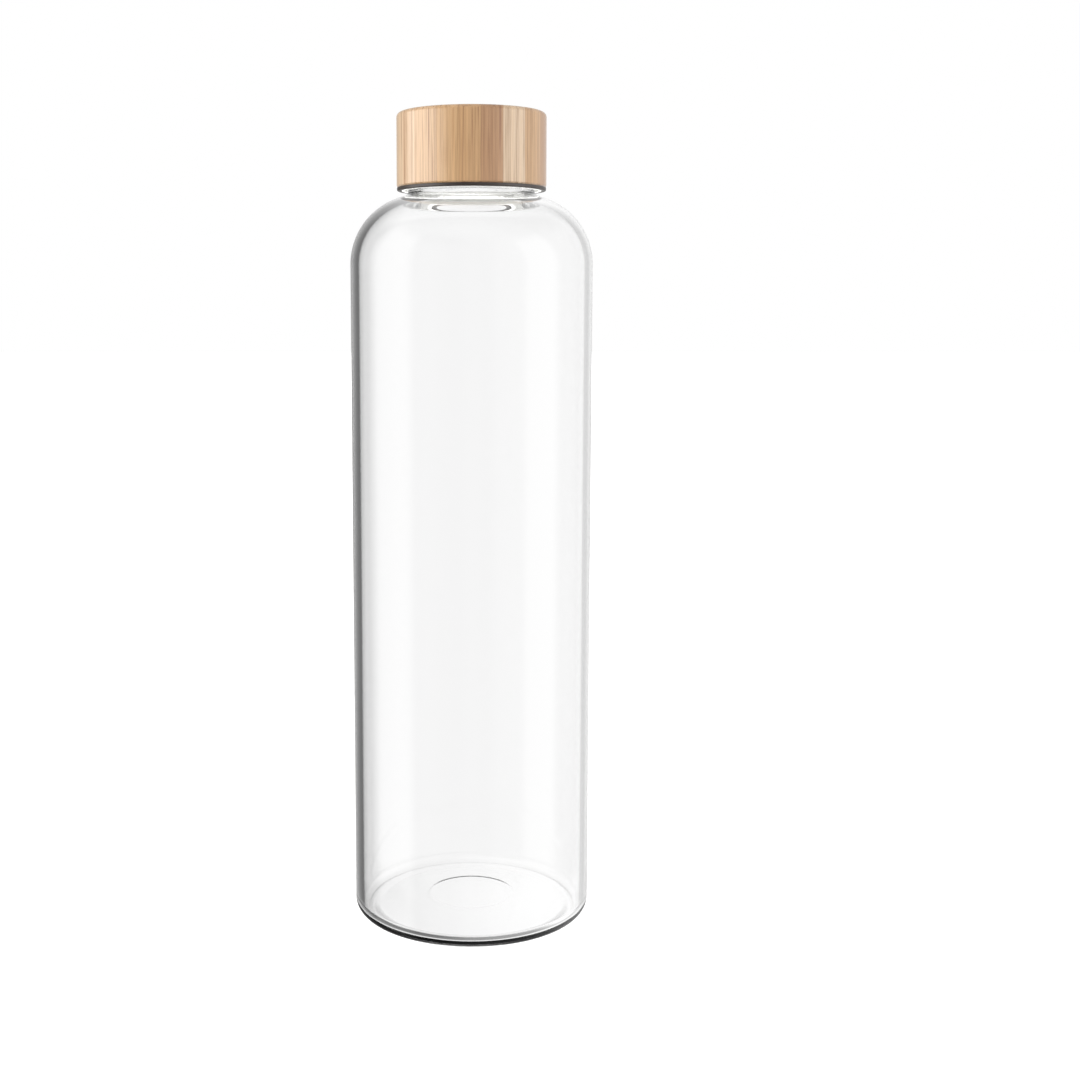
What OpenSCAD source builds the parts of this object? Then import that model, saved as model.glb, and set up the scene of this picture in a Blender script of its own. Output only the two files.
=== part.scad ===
// Glass water bottle: a tall clear cylinder with a round shoulder, a short threaded neck and a
// bamboo screw cap. The cap is bamboo over a plastic threaded insert that holds a silicone seal,
// and a dark trim ring closes its lower edge.
// Millimetres, +Z up, the origin is at the centre of the foot. The foot ring stands on z = 0.

/* [Glass body] */
// Outside diameter of the straight wall
body_d = 80; // [76:0.5:84]
// Height of the rim above the foot
rim_z = 262.6; // [240:0.1:280]
// Wall thickness of the blown glass
glass_wall = 2.7; // [2:0.1:3]
// Wall thickness of the neck
neck_wall = 4.2; // [3:0.1:4.6]
// Radius of the round shoulder
shoulder_r = 22.9; // [20:0.1:24]
// Height of the highest point of the shoulder below the rim
shoulder_drop = 20; // [19.5:0.1:24]
// Outside radius of the neck at the root of its thread
neck_r = 20.8; // [20.4:0.05:20.9]
// Radius of the hollow fillet where the neck meets the shoulder
neck_fillet = 2; // [1.5:0.1:2.8]
// Inside radius of the round shoulder
inner_shoulder_r = 20.6; // [19.5:0.1:21]
// Radius of the fillet where the bore opens into the shoulder
inner_fillet = 3; // [1.5:0.1:4.5]
// Rounding of the rim edges
rim_round = 0.9; // [0.5:0.05:1]

/* [Glass base] */
// Outside radius of the heel
heel_r = 4.2; // [3:0.1:5.5]
// Inside radius between the wall and the floor
inner_heel_r = 3.2; // [2.5:0.1:6]
// Inner radius of the flat foot ring
foot_inner_r = 31; // [28:0.5:32]
// Rise of the push-up at the centre of the underside
push_up = 3; // [1.5:0.1:4]
// Thickness of the floor
floor_t = 2.6; // [2.2:0.1:4.5]
// Radius of the shallow mould ring under the floor
mould_ring_r = 14; // [10:0.5:18]
// Width of the mould ring
mould_ring_w = 3; // [2:0.1:4]
// Depth of the mould ring
mould_ring_depth = 0.05; // [0.04:0.01:0.2]

/* [Thread] */
// Rise of the thread in one turn
thread_lead = 4; // [3.8:0.1:4.4]
// Height of the glass thread over the neck
thread_h = 1.1; // [0.8:0.05:1.1]
// Turns of the glass thread
glass_turns = 1.5; // [1.2:0.05:1.8]
// Turns of the thread in the insert
insert_turns = 1.25; // [1:0.05:1.4]
// Height of the start of the glass thread below the rim
thread_drop = 12.6; // [12:0.1:13]

/* [Cap] */
// Outside diameter of the bamboo shell
cap_d = 49.2; // [49:0.1:54]
// Height of the bamboo shell
cap_h = 24.15; // [23.5:0.05:28]
// Rounding of the top edge of the bamboo
cap_round = 1.6; // [0.5:0.1:3]
// Bevel of the bottom edge of the bamboo
cap_bevel = 0.45; // [0.2:0.05:0.7]
// Thickness of the dark trim ring under the bamboo
ring_t = 1.1; // [1:0.1:1.6]
// Rounding of the lower outer edge of the trim ring
ring_round = 0.4; // [0.2:0.05:0.5]
// How far the trim ring stands back from the side of the bamboo
ring_inset = 0.1; // [0:0.05:0.4]
// Height of the trim ring over the highest point of the shoulder
ring_gap = 1.15; // [0.7:0.05:1.3]
// Thickness of the top plate of the insert
plate_t = 1.6; // [1:0.1:2]
// Thickness of the seal
seal_t = 1.6; // [1.2:0.1:2]

/* [Show] */
// Which sub-part to draw

/* [Hidden] */
$fn = 96;
body_r = body_d / 2;
cap_r = cap_d / 2;
bore_r = neck_r - neck_wall;               // clear radius of the mouth
shoulder_z = rim_z - shoulder_drop;        // top of the shoulder arc
shoulder_cz = shoulder_z - shoulder_r;     // centre of the shoulder arcs
crest_r = neck_r + thread_h;               // crest of the glass thread
valley_r = crest_r + 0.3;                  // inside of the insert, with running clearance
insert_r = valley_r + 0.75;                // outside of the insert wall
bamboo_bore_r = insert_r + 0.05;           // glue gap
plate_z = rim_z + seal_t;                  // underside of the top plate
ceiling_z = plate_z + plate_t;             // bamboo rests on the plate here
trim_z = shoulder_z + ring_gap;            // underside of the trim ring and the insert
bamboo_z = trim_z + ring_t;                // bottom of the bamboo
trim_r = cap_r - ring_inset;
// The push-up and the floor are concentric spheres.
push_R = (foot_inner_r * foot_inner_r + push_up * push_up) / (2 * push_up);
push_cz = push_up - push_R;
floor_R = push_R + floor_t;
heel_cx = body_r - glass_wall - inner_heel_r;
heel_cz = push_cz + sqrt(pow(floor_R + inner_heel_r, 2) - heel_cx * heel_cx);
heel_tx = heel_cx * floor_R / (floor_R + inner_heel_r);
// The mould ring is a shallow groove of round section, square to the sphere.
groove_R = (pow(mould_ring_w / 2, 2) + pow(mould_ring_depth, 2)) / (2 * mould_ring_depth);
groove_k = (push_R + mould_ring_depth - groove_R) / push_R;

glass_colour = [0.86, 0.93, 0.93, 0.35];
bamboo_colour = [0.82, 0.66, 0.47];
plastic_colour = [0.85, 0.85, 0.83];
trim_colour = [0.2, 0.18, 0.17];
silicone_colour = [0.9, 0.9, 0.88];

// A box in the r-z plane, from (r0, z0) to (r1, z1).
module span(r0, z0, r1, z1) {
    translate([r0, z0]) square([r1 - r0, z1 - z0]);
}

module disc(r, z, radius) {
    translate([r, z]) circle(r = radius);
}

// The upper half of an outline, outside or inside: a straight wall of radius wall_r, a shoulder arc
// of radius arc_r, and a tube of radius tube_r, with a fillet between the last two.
module upper_profile(wall_r, arc_r, tube_r, fillet, z0, z1) {
    arc_x = wall_r - arc_r;
    cx = tube_r + fillet;
    cz = shoulder_cz + sqrt(pow(arc_r + fillet, 2) - pow(cx - arc_x, 2));
    tx = arc_x + (cx - arc_x) * arc_r / (arc_r + fillet);
    span(0, z0, wall_r, shoulder_cz);
    span(0, z0, arc_x, shoulder_cz + arc_r);
    span(0, shoulder_cz, tube_r, z1);
    intersection() {
        disc(arc_x, shoulder_cz, arc_r);
        span(0, shoulder_cz - 1, wall_r, shoulder_z + 1);
    }
    difference() {
        span(tube_r - 1, shoulder_cz + 10, tx, cz);
        disc(cx, cz, fillet);
    }
}

module glass_outline() {
    upper_profile(body_r, shoulder_r, neck_r, neck_fillet, heel_r, rim_z - rim_round);
    span(0, 0, body_r - heel_r, heel_r + 1);
    disc(body_r - heel_r, heel_r, heel_r);
    span(0, shoulder_z, neck_r - rim_round, rim_z);
    disc(neck_r - rim_round, rim_z - rim_round, rim_round);
}

module cavity_outline() {
    difference() {
        union() {
            upper_profile(body_r - glass_wall, inner_shoulder_r, bore_r, inner_fillet,
                          heel_cz, rim_z - rim_round);
            span(0, -1, heel_tx, heel_cz + 1);
            intersection() {
                disc(heel_cx, heel_cz, inner_heel_r);
                span(0, -20, body_r, heel_cz + 1);
            }
        }
        disc(0, push_cz, floor_R);
    }
    difference() {
        span(0, rim_z - rim_round, bore_r + rim_round, rim_z + 1);
        disc(bore_r + rim_round, rim_z - rim_round, rim_round);
    }
}

module glass_section() {
    difference() {
        intersection() {
            glass_outline();
            span(0, -1, body_r + 1, rim_z + 1);
        }
        cavity_outline();
        disc(0, push_cz, push_R);
        disc(mould_ring_r * groove_k,
             push_cz + sqrt(push_R * push_R - mould_ring_r * mould_ring_r) * groove_k, groove_R);
    }
}

// One thread ridge along a right-hand helix. It stands from root to crest, which may lie inside
// or outside the root, runs into the wall by sink, and fades out over its first and last 30 degrees.
module ridge(root, crest, base_w, crest_w, z0, turns, sink) {
    out = crest > root ? 1 : -1;
    steps = ceil(36 * turns);
    deep = root - out * sink;
    flare = (base_w - crest_w) / 2 * sink / abs(crest - root);
    function fade(i) = min(1, 0.15 + 0.85 * min(i, steps - i) / 3);
    pts = [for (i = [0:steps]) let (
               a = 360 * turns * i / steps,
               z = z0 + thread_lead * turns * i / steps,
               top = root + (crest - root) * fade(i),
               wide = base_w / 2 + flare,
               tip = base_w / 2 - (base_w - crest_w) / 2 * fade(i))
           for (p = [[deep, -wide], [top, -tip], [top, tip], [deep, wide]])
           [p[0] * cos(a), p[0] * sin(a), z + p[1]]];
    sides = [for (i = [0:steps - 1], k = [0:3]) let (n = (k + 1) % 4, c = 4 * i)
             out < 0 ? [c + k, c + 4 + k, c + 4 + n, c + n] : [c + k, c + n, c + 4 + n, c + 4 + k]];
    first = out < 0 ? [0, 1, 2, 3] : [3, 2, 1, 0];
    last = [for (k = first) 4 * steps + 3 - k];
    polyhedron(points = pts, faces = concat(sides, [first, last]), convexity = 6);
}

module glass_bottle() {
    color(glass_colour) {
        rotate_extrude($fn = 96) glass_section();
        rotate([0, 0, 204])
            ridge(neck_r, crest_r, 2.4, 1, rim_z - thread_drop, glass_turns, 0.9);
    }
}

module silicone_seal() {
    color(silicone_colour)
        translate([0, 0, rim_z])
        difference() {
            cylinder(r = valley_r - 0.5, h = seal_t);
            translate([0, 0, -1]) cylinder(r = bore_r - 1.3, h = seal_t + 2);
        }
}

// The insert's wall, top plate and seal collar in one outline.
module insert_section() {
    span(valley_r, trim_z, insert_r, ceiling_z);
    span(0, plate_z, insert_r, ceiling_z);
    span(bore_r - 2.6, plate_z - 3, bore_r - 1.5, plate_z + 0.5);
}

module thread_insert() {
    // the insert ridge bears on the underside of the glass ridge, a little below its centre line
    color(plastic_colour) {
        rotate_extrude($fn = 96) insert_section();
        rotate([0, 0, 236])
            ridge(valley_r, neck_r + 0.35, 2.2, 0.9,
                  rim_z - thread_drop + thread_lead / 10 - 1.67, insert_turns, 0.45);
    }
}

module trim_section() {
    span(bamboo_bore_r, trim_z, trim_r - ring_round, bamboo_z);
    span(bamboo_bore_r, trim_z + ring_round, trim_r, bamboo_z);
    disc(trim_r - ring_round, trim_z + ring_round, ring_round);
}

module trim_ring() {
    color(trim_colour) rotate_extrude($fn = 96) trim_section();
}

module bamboo_section() {
    top_z = bamboo_z + cap_h;
    difference() {
        union() {
            span(0, bamboo_z + cap_bevel, cap_r, top_z - cap_round);
            span(0, bamboo_z, cap_r - cap_round, top_z);
            intersection() {
                disc(cap_r - cap_round, top_z - cap_round, cap_round);
                span(0, bamboo_z, cap_r + 1, top_z + 1);
            }
            polygon([[cap_r - cap_round - 0.2, bamboo_z], [cap_r - cap_bevel, bamboo_z],
                     [cap_r, bamboo_z + cap_bevel], [cap_r - cap_round - 0.2, bamboo_z + cap_bevel]]);
        }
        span(-1, bamboo_z - 1, bamboo_bore_r, ceiling_z);
    }
}

module bamboo_cap() {
    color(bamboo_colour) rotate_extrude($fn = 96) bamboo_section();
}

glass_bottle();
silicone_seal();
thread_insert();
trim_ring();
bamboo_cap();
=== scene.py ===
"""A glass water bottle with a bamboo screw cap, in a white studio.

Every piece is a lathed mesh in metres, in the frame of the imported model: +Z up, the foot on z = 0.
The sizes below are those of the object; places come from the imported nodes' boxes.
"""
import math

import bpy
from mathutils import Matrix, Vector


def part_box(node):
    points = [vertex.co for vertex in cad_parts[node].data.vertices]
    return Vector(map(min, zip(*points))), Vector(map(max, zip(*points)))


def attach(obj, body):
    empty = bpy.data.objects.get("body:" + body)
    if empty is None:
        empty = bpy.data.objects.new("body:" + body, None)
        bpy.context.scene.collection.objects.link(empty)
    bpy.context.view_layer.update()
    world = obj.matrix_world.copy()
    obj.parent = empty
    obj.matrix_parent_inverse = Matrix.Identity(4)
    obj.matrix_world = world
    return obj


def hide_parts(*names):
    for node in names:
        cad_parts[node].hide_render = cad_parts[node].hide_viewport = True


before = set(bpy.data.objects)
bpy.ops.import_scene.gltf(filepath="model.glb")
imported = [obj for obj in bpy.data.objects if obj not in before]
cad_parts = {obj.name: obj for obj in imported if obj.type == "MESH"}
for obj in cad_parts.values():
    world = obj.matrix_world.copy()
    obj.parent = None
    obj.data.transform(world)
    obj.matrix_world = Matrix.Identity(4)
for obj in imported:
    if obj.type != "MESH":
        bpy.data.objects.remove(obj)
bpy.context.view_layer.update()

MM = 0.001
TAU = 2 * math.pi

# Glass
WALL = 2.7 * MM
NECK_WALL = 4.2 * MM
SHOULDER_R = 22.9 * MM
SHOULDER_DROP = 20.0 * MM
INNER_SHOULDER_R = 20.6 * MM
INNER_FILLET = 3.0 * MM
NECK_R = 20.8 * MM
NECK_FILLET = 2.0 * MM
RIM_ROUND = 0.9 * MM
HEEL_R = 4.2 * MM
INNER_HEEL_R = 3.2 * MM
FOOT_INNER_R = 31.0 * MM
FOOT_EDGE = 1.2 * MM
PUSH_UP = 3.0 * MM
FLOOR_T = 2.6 * MM
MOULD_RING_R = 14.0 * MM
MOULD_RING_W = 3.0 * MM
MOULD_RING_DEPTH = 0.05 * MM

# Thread: turns, the angle it starts at, and the widths of a ridge at its base and crest
LEAD = 4.0 * MM
THREAD_DROP = 12.6 * MM
THREAD_H = 1.1 * MM
THREAD_GAP = 0.3 * MM
GLASS_TURNS, GLASS_START = 1.5, 204.0
GLASS_RIDGE = (2.6 * MM, 0.9 * MM)
INSERT_TURNS, INSERT_START = 1.25, 236.0
INSERT_RIDGE = (2.4 * MM, 0.8 * MM)
INSERT_CREST_R = NECK_R + 0.35 * MM
INSERT_BELOW = 1.27 * MM
RIDGE_FADE = math.radians(30)

# Cap: the seal's collar hangs inside the bore, and the seal lies on the rim
SEAL_T = 1.6 * MM
SEAL_INSIDE_BORE = 1.3 * MM
SEAL_INSIDE_VALLEY = 0.5 * MM
SEAL_ROUND = 0.3 * MM
COLLAR_H = 3.0 * MM
COLLAR_IN, COLLAR_OUT = 2.6 * MM, 1.5 * MM
INSERT_WALL = 0.75 * MM
GLUE_GAP = 0.05 * MM
CAP_ROUND = 1.6 * MM
CAP_BEVEL = 0.45 * MM
RING_ROUND = 0.4 * MM

# Bamboo, in millimetres: the width of a strip, the place of a glue line along X, the depth of a
# layer and the place of a joint between layers along Y, and how far each layer is shifted along X.
# Then the numbers that pick the strips' tones, and the tones that strips come in.
STRIP, GLUE_LINE = 7.0, 3.0
LAYER, LAYER_LINE, LAYER_SHIFT = 22.0, -33.0, 2.7
STRIP_SEED, LAYER_SEED = 368.0, 17.0
STRIP_TONES = [(0.0, (0.42, 0.23, 0.12)), (0.2, (0.50, 0.29, 0.15)), (0.4, (0.56, 0.34, 0.17)),
               (0.6, (0.62, 0.39, 0.20)), (0.8, (0.66, 0.46, 0.29)), (1.0, (0.68, 0.50, 0.33))]

# How finely things are turned, and how near a radius counts as the same
ROUND = 256
NEAR = 0.01 * MM


# ---------------------------------------------------------------- outlines

def arc(cx, cz, radius, start, stop, steps):
    """Points on an arc in the r-z plane, angles in degrees from +r towards +z."""
    out = []
    for i in range(steps + 1):
        a = math.radians(start + (stop - start) * i / steps)
        out.append((cx + radius * math.cos(a), cz + radius * math.sin(a)))
    return out


def line(r0, z0, r1, z1, steps=1):
    """Points on a straight run in the r-z plane, both ends included."""
    return [(r0 + (r1 - r0) * i / steps, z0 + (z1 - z0) * i / steps) for i in range(steps + 1)]


def joined(*runs):
    """One outline from runs of points, with repeated points dropped."""
    out = []
    for p in (p for run in runs for p in run):
        if not out or math.dist(p, out[-1]) > 1e-6:
            out.append(p)
    return out


def smooth(x):
    """A soft step from 0 to 1."""
    x = min(1.0, max(0.0, x))
    return x * x * (3 - 2 * x)


def ridge_height(angle, z, z0, start, turns, widths):
    """How far a right-hand thread ridge stands out at an angle and height, as a share of its full
    height. It fades in and out at its ends."""
    base, crest = widths
    best = 0.0
    first = (angle - math.radians(start)) % TAU
    for k in range(int(turns) + 1):
        a = first + k * TAU
        if a > turns * TAU:
            break
        off = abs(z - (z0 + LEAD * a / TAU))
        fade = smooth(min(a, turns * TAU - a) / RIDGE_FADE)
        best = max(best, fade * smooth((base / 2 - off) / (base / 2 - crest / 2)))
    return best


# ---------------------------------------------------------------- meshes

def lathe(name, outline, closed, push=None):
    """Turns an outline about Z. Its ends on the axis close with fans; a closed outline is a ring.
    push(angle, r, z) may return how far a point moves outwards."""
    verts, faces, rows = [], [], []
    for r, z in outline:
        if r < 1e-7:
            rows.append([len(verts)])
            verts.append((0.0, 0.0, z))
            continue
        rows.append(range(len(verts), len(verts) + ROUND))
        for k in range(ROUND):
            a = TAU * k / ROUND
            rr = r + (push(a, r, z) if push else 0.0)
            verts.append((rr * math.cos(a), rr * math.sin(a), z))
    pairs = list(zip(rows, rows[1:])) + ([(rows[-1], rows[0])] if closed else [])
    for low, high in pairs:
        for k in range(ROUND):
            n = (k + 1) % ROUND
            if len(low) == 1:
                faces.append((low[0], high[n], high[k]))
            elif len(high) == 1:
                faces.append((low[k], low[n], high[0]))
            else:
                faces.append((low[k], low[n], high[n], high[k]))
    mesh = bpy.data.meshes.new(name)
    mesh.from_pydata(verts, [], faces)
    mesh.shade_smooth()
    mesh.update()
    piece = bpy.data.objects.new(name, mesh)
    bpy.context.scene.collection.objects.link(piece)
    return piece


def fit_out(piece, node, body, material):
    """Gives a piece its material in a slot and its body, and hides the imported node that it stands for."""
    piece.data.materials.append(material)
    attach(piece, body)
    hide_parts(node)
    return piece


def sizes():
    """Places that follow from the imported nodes."""
    glass_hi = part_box("glass_bottle")[1]
    cap_lo, cap_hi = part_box("bamboo_cap")
    insert_lo, insert_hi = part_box("thread_insert")
    ring_lo, ring_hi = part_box("trim_ring")
    s = {
        "body_r": glass_hi.x,
        "rim": glass_hi.z,
        "cap_r": cap_hi.x,
        "cap_low": cap_lo.z,
        "cap_top": cap_hi.z,
        "insert_low": insert_lo.z,
        "plate_top": insert_hi.z,
        "ring_r": ring_hi.x,
        "ring_low": ring_lo.z,
        "ring_top": ring_hi.z,
    }
    s["shoulder"] = s["rim"] - SHOULDER_DROP
    s["thread"] = s["rim"] - THREAD_DROP
    s["bore"] = NECK_R - NECK_WALL
    s["crest"] = NECK_R + THREAD_H
    s["valley"] = s["crest"] + THREAD_GAP
    s["cap_bore"] = s["valley"] + INSERT_WALL + GLUE_GAP
    return s


def glass_outline(s):
    """The whole skin of the glass, from the centre of the underside, up outside and down inside."""
    R, rim, bore = s["body_r"], s["rim"], s["bore"]
    cx, cz = R - SHOULDER_R, s["shoulder"] - SHOULDER_R
    fx = NECK_R + NECK_FILLET
    fz = cz + math.sqrt((SHOULDER_R + NECK_FILLET) ** 2 - (fx - cx) ** 2)
    lean = math.degrees(math.atan2(fz - cz, fx - cx))
    ix, inner_fx = R - WALL - INNER_SHOULDER_R, bore + INNER_FILLET
    inner_fz = cz + math.sqrt((INNER_SHOULDER_R + INNER_FILLET) ** 2 - (inner_fx - ix) ** 2)
    inner_lean = math.degrees(math.atan2(inner_fz - cz, inner_fx - ix))
    push_R = (FOOT_INNER_R ** 2 + PUSH_UP ** 2) / (2 * PUSH_UP)
    push_z = PUSH_UP - push_R
    floor_R = push_R + FLOOR_T
    hx = R - WALL - INNER_HEEL_R
    hz = push_z + math.sqrt((floor_R + INNER_HEEL_R) ** 2 - hx ** 2)
    floor_lean = math.degrees(math.atan2(hz - push_z, hx))

    def under(r):
        groove = smooth(1 - abs(r - MOULD_RING_R) / (MOULD_RING_W / 2)) * MOULD_RING_DEPTH
        return push_z + math.sqrt(push_R ** 2 - r * r) + groove

    def floor(r):
        return push_z + math.sqrt(floor_R ** 2 - r * r)

    last = FOOT_INNER_R - FOOT_EDGE
    ring = [MOULD_RING_R + MOULD_RING_W * k / 12 for k in range(-7, 8)]
    underside = [(0.0, PUSH_UP)]
    underside += [(r, under(r)) for r in (2 * MM * k for k in range(1, 7))]
    underside += [(r, under(r)) for r in ring]
    underside += [(r, under(r)) for r in (MOULD_RING_R + 2 * MM * k for k in range(1, 8))]
    rise = under(last)
    foot = [(last + 2 * FOOT_EDGE * u, rise * (1 - u) ** 2) for u in (0, 0.2, 0.4, 0.6, 0.8, 1)]
    tangent_r = hx * floor_R / (floor_R + INNER_HEEL_R)
    return joined(
        underside,
        foot,
        arc(R - HEEL_R, HEEL_R, HEEL_R, -90, 0, 20),
        line(R, HEEL_R, R, cz, 24),
        arc(cx, cz, SHOULDER_R, 0, lean, 48),
        arc(fx, fz, NECK_FILLET, lean - 180, -180, 14),
        line(NECK_R, fz, NECK_R, rim - RIM_ROUND, 72),
        arc(NECK_R - RIM_ROUND, rim - RIM_ROUND, RIM_ROUND, 0, 90, 8),
        arc(bore + RIM_ROUND, rim - RIM_ROUND, RIM_ROUND, 90, 180, 8),
        line(bore, rim - RIM_ROUND, bore, inner_fz, 8),
        arc(inner_fx, inner_fz, INNER_FILLET, -180, inner_lean - 180, 18),
        arc(ix, cz, INNER_SHOULDER_R, inner_lean, 0, 44),
        line(R - WALL, cz, R - WALL, hz, 24),
        arc(hx, hz, INNER_HEEL_R, 0, floor_lean - 180, 20),
        [(r, floor(r)) for r in (tangent_r * (1 - k / 18) for k in range(18))],
        [(0.0, floor(0.0))],
    )


def make_glass(s, material):
    """The bottle. It casts no shadow, so the lamps reach the cap through it."""
    def push(angle, r, z):
        if abs(r - NECK_R) > NEAR or z < s["shoulder"]:
            return 0.0
        share = ridge_height(angle, z, s["thread"], GLASS_START, GLASS_TURNS, GLASS_RIDGE)
        return share * (s["crest"] - NECK_R)

    piece = lathe("glass_body", glass_outline(s), False, push)
    piece.visible_shadow = False
    return fit_out(piece, "glass_bottle", "bottle", material)


def make_seal(s, material):
    """A flat ring on the rim."""
    inner, outer, edge = s["bore"] - SEAL_INSIDE_BORE, s["valley"] - SEAL_INSIDE_VALLEY, SEAL_ROUND
    low = s["rim"]
    top = low + SEAL_T
    outline = joined(
        arc(inner + edge, low + edge, edge, 180, 270, 4),
        arc(outer - edge, low + edge, edge, -90, 0, 4),
        arc(outer - edge, top - edge, edge, 0, 90, 4),
        arc(inner + edge, top - edge, edge, 90, 180, 4),
    )
    piece = lathe("seal_ring", outline, True)
    return fit_out(piece, "silicone_seal", "seal", material)


def make_insert(s, material):
    """Side wall with the thread, top plate and the collar that holds the seal."""
    plate, low, valley = s["rim"] + SEAL_T, s["insert_low"], s["valley"]
    outer, top = valley + INSERT_WALL, s["plate_top"]
    collar_in, collar_out, collar_z = s["bore"] - COLLAR_IN, s["bore"] - COLLAR_OUT, plate - COLLAR_H
    fine = 0.2 * MM
    outline = joined(
        [(0.0, plate)],
        line(2 * MM, plate, collar_in - fine, plate, 4),
        arc(collar_in - fine, plate - fine, fine, 90, 0, 3),
        line(collar_in, plate - fine, collar_in, collar_z + fine, 3),
        arc(collar_in + fine, collar_z + fine, fine, 180, 270, 3),
        arc(collar_out - fine, collar_z + fine, fine, -90, 0, 3),
        line(collar_out, collar_z + fine, collar_out, plate - fine, 3),
        arc(collar_out + fine, plate - fine, fine, 180, 90, 3),
        line(collar_out + fine, plate, valley - fine, plate, 3),
        arc(valley - fine, plate - fine, fine, 90, 0, 3),
        line(valley, plate - fine, valley, low + fine, 84),
        arc(valley + fine, low + fine, fine, 180, 270, 3),
        arc(outer - fine, low + fine, fine, -90, 0, 3),
        line(outer, low + fine, outer, top - fine, 6),
        arc(outer - fine, top - fine, fine, 0, 90, 3),
        line(outer - fine, top, 2 * MM, top, 4),
        [(0.0, top)],
    )

    def push(angle, r, z):
        if abs(r - valley) > NEAR:
            return 0.0
        z0 = s["thread"] - INSERT_BELOW
        share = ridge_height(angle, z, z0, INSERT_START, INSERT_TURNS, INSERT_RIDGE)
        return -share * (valley - INSERT_CREST_R)

    piece = lathe("insert_body", outline, False, push)
    return fit_out(piece, "thread_insert", "cap", material)


def make_ring(s, material):
    """The dark ring under the bamboo."""
    hole, wide, low, top = s["cap_bore"], s["ring_r"], s["ring_low"], s["ring_top"]
    fine = 0.1 * MM
    outline = joined(
        arc(hole + fine, low + fine, fine, 180, 270, 3),
        arc(wide - RING_ROUND, low + RING_ROUND, RING_ROUND, -90, 0, 8),
        arc(wide - fine, top - fine, fine, 0, 90, 3),
        arc(hole + fine, top - fine, fine, 90, 180, 3),
    )
    piece = lathe("ring_body", outline, True)
    return fit_out(piece, "trim_ring", "cap", material)


def make_bamboo(s, material):
    """The turned shell, bored from below for the insert."""
    low, top, R = s["cap_low"], s["cap_top"], s["cap_r"]
    hole, ceiling = s["cap_bore"], s["plate_top"]
    fine = 0.15 * MM
    outline = joined(
        [(0.0, ceiling)],
        line(3 * MM, ceiling, hole, ceiling, 5),
        line(hole, ceiling, hole, low + fine, 8),
        line(hole + fine, low, R - CAP_BEVEL - fine, low, 2),
        arc(R - CAP_BEVEL - fine, low + fine, fine, -90, -45, 2),
        arc(R - fine, low + CAP_BEVEL + fine, fine, -45, 0, 2),
        line(R, low + CAP_BEVEL + fine, R, top - CAP_ROUND, 12),
        arc(R - CAP_ROUND, top - CAP_ROUND, CAP_ROUND, 0, 90, 12),
        line(R - CAP_ROUND, top, 2 * MM, top, 10),
        [(0.0, top)],
    )
    piece = lathe("bamboo_shell", outline, False)
    return fit_out(piece, "bamboo_cap", "cap", material)


# ---------------------------------------------------------------- materials

class Nodes:
    """Short names for building a node tree."""

    def __init__(self, tree):
        self.tree = tree
        tree.nodes.clear()

    def new(self, kind, inputs=(), **settings):
        node = self.tree.nodes.new(kind)
        for k, v in settings.items():
            setattr(node, k, v)
        for k, v in dict(inputs).items():
            self.put(node.inputs[k], v)
        return node

    def put(self, socket, value):
        if isinstance(value, bpy.types.NodeSocket):
            self.tree.links.new(value, socket)
        else:
            socket.default_value = value

    def math(self, operation, a, b=0.0):
        node = self.new("ShaderNodeMath", operation=operation)
        self.put(node.inputs[0], a)
        self.put(node.inputs[1], b)
        return node.outputs[0]

    def ramp(self, value, stops, interpolation="LINEAR"):
        node = self.new("ShaderNodeValToRGB", {"Fac": value})
        node.color_ramp.interpolation = interpolation
        while len(node.color_ramp.elements) < len(stops):
            node.color_ramp.elements.new(0.5)
        for e, (at, colour) in zip(node.color_ramp.elements, stops):
            e.position = at
            e.color = (*colour, 1.0) if isinstance(colour, tuple) else (colour, colour, colour, 1.0)
        return node.outputs["Color"]

    def stretched(self, scale):
        """The piece's own coordinates in millimetres, times scale on each axis."""
        where = self.new("ShaderNodeTexCoord").outputs["Object"]
        node = self.new("ShaderNodeVectorMath", {0: where}, operation="MULTIPLY")
        node.inputs[1].default_value = [1000 * k for k in scale]
        return node.outputs[0]

    def noise(self, scale, detail=2.0, roughness=0.5):
        """Noise with scale cells in a millimetre on each axis."""
        node = self.new("ShaderNodeTexNoise", {"Vector": self.stretched(scale), "Scale": 1.0,
                                               "Detail": detail, "Roughness": roughness})
        return node.outputs["Fac"]

    def mix(self, factor, a, b, blend="MIX"):
        node = self.new("ShaderNodeMix", data_type="RGBA", blend_type=blend)
        self.put(node.inputs["Factor"], factor)
        self.put(node.inputs["A"], a)
        self.put(node.inputs["B"], b)
        return node.outputs["Result"]


def material(name):
    """A material with a lone Principled shader, its node helper and that shader."""
    made = bpy.data.materials.new(name)
    made.use_nodes = True
    n = Nodes(made.node_tree)
    shader = n.new("ShaderNodeBsdfPrincipled")
    out = n.new("ShaderNodeOutputMaterial")
    made.node_tree.links.new(shader.outputs[0], out.inputs["Surface"])
    return made, n, shader


def clear_glass():
    """Colourless glass with the faint draw lines and ripples of a mould-blown bottle."""
    made, n, shader = material("clear_glass")
    shader.inputs["Base Color"].default_value = (1, 1, 1, 1)
    shader.inputs["IOR"].default_value = 1.5
    shader.inputs["Transmission Weight"].default_value = 1.0
    smear = n.noise((0.05, 0.05, 0.02), 3.0)
    n.put(shader.inputs["Roughness"], n.ramp(smear, [(0.45, 0.0), (0.75, 0.012)]))
    ripple = n.noise((0.03, 0.03, 0.006), 1.0)
    bump = n.new("ShaderNodeBump", {"Strength": 0.12, "Distance": 0.0006, "Height": ripple})
    n.put(shader.inputs["Normal"], bump.outputs["Normal"])
    return made


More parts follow.
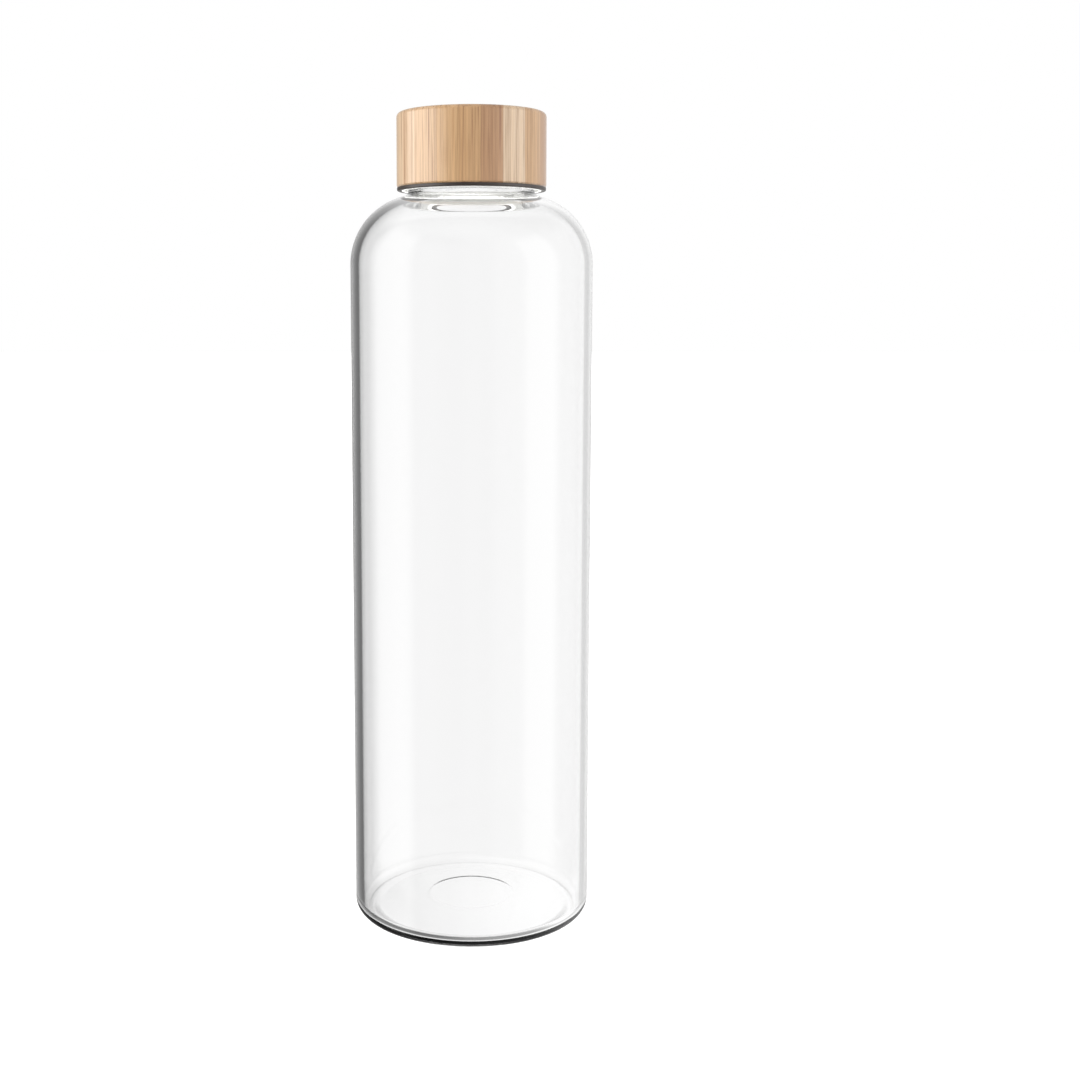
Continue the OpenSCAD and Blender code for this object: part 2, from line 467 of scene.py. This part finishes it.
def bamboo():
    """Laminated bamboo, turned with its fibres upright, under a satin lacquer."""
    made, n, shader = material("bamboo")
    where = n.stretched((1, 1, 1))
    xyz = n.new("ShaderNodeSeparateXYZ", {0: where})
    # Strips lie side by side along X, in layers along Y, and wander a little.
    wander = n.math("MULTIPLY", n.math("SUBTRACT", n.noise((0.05, 0.05, 0.02)), 0.5), 1.2)
    layer = n.math("FLOOR", n.math("DIVIDE", n.math("SUBTRACT", xyz.outputs["Y"], LAYER_LINE), LAYER))
    shift = n.math("MULTIPLY", layer, LAYER_SHIFT)
    along = n.math("ADD", n.math("ADD", xyz.outputs["X"], wander), shift)
    cell = n.math("DIVIDE", n.math("SUBTRACT", along, GLUE_LINE), STRIP)
    index = n.math("ADD", n.math("FLOOR", cell), n.math("MULTIPLY", layer, LAYER_SEED))
    index = n.math("ADD", index, STRIP_SEED)
    strip = n.new("ShaderNodeTexWhiteNoise", {"W": index}, noise_dimensions="1D").outputs["Value"]
    tone = n.ramp(strip, STRIP_TONES)
    coarse = n.noise((0.8, 0.8, 0.016), 4.0, 0.65)
    fine = n.noise((4.5, 4.5, 0.06), 3.0, 0.6)
    tone = n.mix(1.0, tone, n.ramp(coarse, [(0.30, (0.66, 0.58, 0.50)), (0.5, 1.0),
                                            (0.70, (1.16, 1.14, 1.10))]), "MULTIPLY")
    tone = n.mix(1.0, tone, n.ramp(fine, [(0.3, (0.82, 0.78, 0.74)), (0.55, 1.0),
                                          (0.75, (1.10, 1.10, 1.12))]), "MULTIPLY")
    streak = n.noise((1.3, 1.3, 0.022), 1.0)
    tone = n.mix(n.ramp(streak, [(0.61, 0.0), (0.72, 0.75)]), tone, (0.27, 0.12, 0.055, 1))
    # The glue line between two strips.
    edge = n.math("ABSOLUTE", n.math("SUBTRACT", n.math("FRACT", cell), 0.5))
    tone = n.mix(n.ramp(edge, [(0.475, 0.0), (0.495, 0.4)]), tone, (0.28, 0.14, 0.07, 1))
    n.put(shader.inputs["Base Color"], tone)
    n.put(shader.inputs["Roughness"], n.ramp(fine, [(0.3, 0.40), (0.7, 0.30)]))
    shader.inputs["Specular IOR Level"].default_value = 0.5
    shader.inputs["Coat Weight"].default_value = 0.6
    shader.inputs["Coat Roughness"].default_value = 0.22
    height = n.math("ADD", n.math("MULTIPLY", fine, 0.6), n.math("MULTIPLY", coarse, 0.4))
    bump = n.new("ShaderNodeBump", {"Strength": 0.25, "Distance": 0.0001, "Height": height})
    n.put(shader.inputs["Normal"], bump.outputs["Normal"])
    return made


def moulded_plastic(name, dark, light):
    """Moulded plastic with a fine satin grain, between two near tones."""
    made, n, shader = material(name)
    cloud = n.noise((0.2, 0.2, 0.2))
    n.put(shader.inputs["Base Color"], n.ramp(cloud, [(0.3, dark), (0.7, light)]))
    grain = n.noise((6, 6, 6))
    n.put(shader.inputs["Roughness"], n.ramp(grain, [(0.3, 0.34), (0.7, 0.46)]))
    bump = n.new("ShaderNodeBump", {"Strength": 0.15, "Distance": 0.00004, "Height": grain})
    n.put(shader.inputs["Normal"], bump.outputs["Normal"])
    return made, shader


def insert_plastic():
    """Milky white plastic that lets a little light through."""
    made, shader = moulded_plastic("insert_plastic", (0.76, 0.76, 0.73), (0.83, 0.83, 0.80))
    shader.inputs["Subsurface Weight"].default_value = 0.2
    shader.inputs["Subsurface Radius"].default_value = (0.002, 0.002, 0.002)
    return made


def trim_plastic():
    """Dark brown plastic."""
    return moulded_plastic("trim_plastic", (0.030, 0.022, 0.018), (0.042, 0.032, 0.027))[0]


def seal_silicone():
    """Milky silicone rubber."""
    made, n, shader = material("seal_silicone")
    cloud = n.noise((0.3, 0.3, 0.3))
    n.put(shader.inputs["Base Color"], n.ramp(cloud, [(0.3, (0.78, 0.78, 0.76)),
                                                      (0.7, (0.86, 0.86, 0.85))]))
    n.put(shader.inputs["Roughness"], n.ramp(cloud, [(0.3, 0.42), (0.7, 0.55)]))
    shader.inputs["Subsurface Weight"].default_value = 0.3
    shader.inputs["Subsurface Radius"].default_value = (0.002, 0.002, 0.002)
    bump = n.new("ShaderNodeBump", {"Strength": 0.1, "Distance": 0.00005, "Height": cloud})
    n.put(shader.inputs["Normal"], bump.outputs["Normal"])
    return made


# ---------------------------------------------------------------- studio

# Brightness of the studio round the object, by azimuth in degrees: 0 is towards the front (-Y),
# 90 is +X, and 180 is the lit backdrop. Left of the backdrop it falls off into the dark.
STUDIO = [
    (-180, 1.0), (-175, 0.97), (-171, 0.82), (-166, 0.56), (-159, 0.36), (-145, 0.17), (-112, 0.13),
    (-98, 0.75), (-66, 0.75), (-54, 0.10), (-22, 0.10), (0, 0.45), (30, 0.9), (50, 1.0),
    (88, 1.2), (98, 1.2), (120, 1.2), (135, 1.0), (146, 0.62), (154, 0.78), (163, 1.0), (180, 1.0),
]
# Brightness overhead, and below the horizon from -X to +X
TOP_LIGHT = 0.8
LOW_LIGHT = [(0.0, 0.10), (0.35, 0.16), (0.5, 0.30), (0.7, 0.34), (1.0, 0.6)]
# Scale that keeps the brightness ramps under 1
PEAK = 2.0
# How far light that passes straight through the glass is lifted to white
THROUGH = 0.8
# Even light from all round on matt surfaces
SOFT_LIGHT = 0.7

# Upright softboxes that light the cap: azimuth, width, radiance and share of diffuse light;
# then how far away and how tall they are, in metres.
SOFTBOXES = [(-76, 1.3, 2.3, 0.3), (68, 0.7, 1.45, 0.1)]
SOFTBOX_AWAY, SOFTBOX_TALL = 0.9, 0.9
# The two suns: strength on the floor, strength from below into the cap, and how soft they are
FLOOR_SUN, BOUNCE_SUN, SUN_WIDTH = 3.2, 6.0, math.radians(60)

# Half the width of the floor, how far it lies under the foot, and how often light may bounce
FLOOR_HALF, FLOOR_DROP = 6.0, 0.05 * MM
BOUNCES = 24

# Camera: distance in front of the axis and height of the eye in metres, degrees down, focal length
# in millimetres on a 36 mm sensor, and shift as a share of the frame
CAMERA_AWAY, CAMERA_EYE, CAMERA_DOWN = 0.5108, 0.207, 6.722
LENS, SENSOR = 50.93, 36.0
SHIFT_X, SHIFT_Y = 0.0634, -0.052


def studio_world():
    """White to the camera, an even white to matt surfaces, and the studio to glass and gloss."""
    world = bpy.data.worlds.new("studio")
    world.use_nodes = True
    n = Nodes(world.node_tree)
    look = n.new("ShaderNodeTexCoord").outputs["Generated"]
    xyz = n.new("ShaderNodeSeparateXYZ", {0: look})
    x, y, z = (xyz.outputs[k] for k in "XYZ")
    around = n.math("ARCTAN2", x, n.math("MULTIPLY", y, -1.0))
    turn = n.math("ADD", n.math("DIVIDE", around, TAU), 0.5)
    ring = n.ramp(turn, [((a + 180) / 360, v / PEAK) for a, v in STUDIO], "EASE")
    above = n.ramp(z, [(0.45, 0.0), (0.80, 1.0)], "EASE")
    below = n.ramp(n.math("MULTIPLY", z, -1.0), [(0.60, 0.0), (0.85, 1.0)], "EASE")
    side = n.ramp(n.math("ADD", n.math("MULTIPLY", x, 0.5), 0.5), [(a, v / PEAK) for a, v in LOW_LIGHT])
    sky = n.mix(above, ring, (TOP_LIGHT / PEAK,) * 3 + (1,))
    sky = n.mix(below, sky, side)
    # Light that comes straight through clear glass, with no reflection, is nearly the white backdrop.
    ray = n.new("ShaderNodeLightPath").outputs
    straight = n.math("MULTIPLY", n.math("LESS_THAN", ray["Glossy Depth"], 0.5), THROUGH)
    sky = n.mix(straight, sky, (1 / PEAK,) * 3 + (1,))
    light = n.new("ShaderNodeBackground", {"Color": sky, "Strength": PEAK})
    white = n.new("ShaderNodeBackground", {"Color": (1, 1, 1, 1), "Strength": 1.0})
    soft = n.new("ShaderNodeBackground", {"Color": (1, 1, 1, 1), "Strength": SOFT_LIGHT})
    lit = n.new("ShaderNodeMixShader", {0: ray["Is Diffuse Ray"], 1: light.outputs[0], 2: soft.outputs[0]})
    both = n.new("ShaderNodeMixShader", {0: ray["Is Camera Ray"], 1: lit.outputs[0], 2: white.outputs[0]})
    n.new("ShaderNodeOutputWorld", {"Surface": both.outputs[0]})
    bpy.context.scene.world = world


def pale_floor():
    """A wide pale floor. The glass sees the studio below the horizon in its place."""
    corners = [(-1, -1), (1, -1), (1, 1), (-1, 1)]
    mesh = bpy.data.meshes.new("floor")
    mesh.from_pydata([(x * FLOOR_HALF, y * FLOOR_HALF, 0) for x, y in corners], [], [(0, 1, 2, 3)])
    floor = bpy.data.objects.new("floor", mesh)
    bpy.context.scene.collection.objects.link(floor)
    floor.location.z = -FLOOR_DROP
    made, n, shader = material("pale_floor")
    grain = n.noise((0.01, 0.01, 0.01))
    n.put(shader.inputs["Base Color"], n.ramp(grain, [(0.3, 0.93), (0.7, 0.95)]))
    shader.inputs["Roughness"].default_value = 0.9
    shader.inputs["Specular IOR Level"].default_value = 0.0
    floor.data.materials.append(made)
    for ray in ("visible_diffuse", "visible_glossy", "visible_transmission", "visible_volume_scatter"):
        setattr(floor, ray, False)
    floor.visible_shadow = False
    return floor


def lamp(name, kind, place, target, lit, **settings):
    """A lamp at a place, aimed at a target, that lights the objects in lit."""
    data = bpy.data.lights.new(name, kind)
    for k, v in settings.items():
        setattr(data, k, v)
    made = bpy.data.objects.new(name, data)
    made.location = place
    made.rotation_euler = (Vector(target) - Vector(place)).to_track_quat("-Z", "Y").to_euler()
    bpy.context.scene.collection.objects.link(made)
    group = bpy.data.collections.new(name + "_lights")
    for piece in lit:
        group.objects.link(piece)
    made.light_linking.receiver_collection = group
    return made


def soft_lights(s, cap, floor):
    """Two softboxes for the cap, a sun for the floor, and the floor's bounce into the cap."""
    middle = (0.0, 0.0, (s["cap_low"] + s["cap_top"]) / 2)
    for k, (azimuth, width, radiance, diffuse) in enumerate(SOFTBOXES):
        a = math.radians(azimuth)
        place = (SOFTBOX_AWAY * math.sin(a), -SOFTBOX_AWAY * math.cos(a), middle[2])
        lamp(f"softbox_{k}", "AREA", place, middle, cap, shape="RECTANGLE", size=width, size_y=SOFTBOX_TALL,
             energy=radiance * math.pi * width * SOFTBOX_TALL, diffuse_factor=diffuse)
    lamp("floor_light", "SUN", (0, 0, 2), (0, 0, 0), [floor], energy=FLOOR_SUN, angle=SUN_WIDTH)
    # What the pale floor throws back up through the bottle into the hollow of the cap.
    lamp("bounce_light", "SUN", (0, 0, -2), (0, 0, 0), cap[:2], energy=BOUNCE_SUN, angle=SUN_WIDTH)


def camera():
    """The photograph's angle: a little above the middle of the bottle, looking slightly down."""
    data = bpy.data.cameras.new("camera")
    data.sensor_width = SENSOR
    data.lens = LENS
    data.shift_x, data.shift_y = SHIFT_X, SHIFT_Y
    made = bpy.data.objects.new("camera", data)
    made.location = (0.0, -CAMERA_AWAY, CAMERA_EYE)
    made.rotation_euler = (math.radians(90 - CAMERA_DOWN), 0.0, 0.0)
    bpy.context.scene.collection.objects.link(made)
    bpy.context.scene.camera = made


def studio(s, cap):
    """World, floor, lamps and camera."""
    studio_world()
    soft_lights(s, cap, pale_floor())
    camera()
    scene = bpy.context.scene
    scene.view_settings.view_transform = "Standard"
    scene.cycles.max_bounces = BOUNCES
    scene.cycles.transmission_bounces = BOUNCES


s = sizes()
make_glass(s, clear_glass())
cap = [
    make_seal(s, seal_silicone()),
    make_insert(s, insert_plastic()),
    make_ring(s, trim_plastic()),
    make_bamboo(s, bamboo()),
]
for piece in cap:
    piece.visible_glossy = False
studio(s, cap)
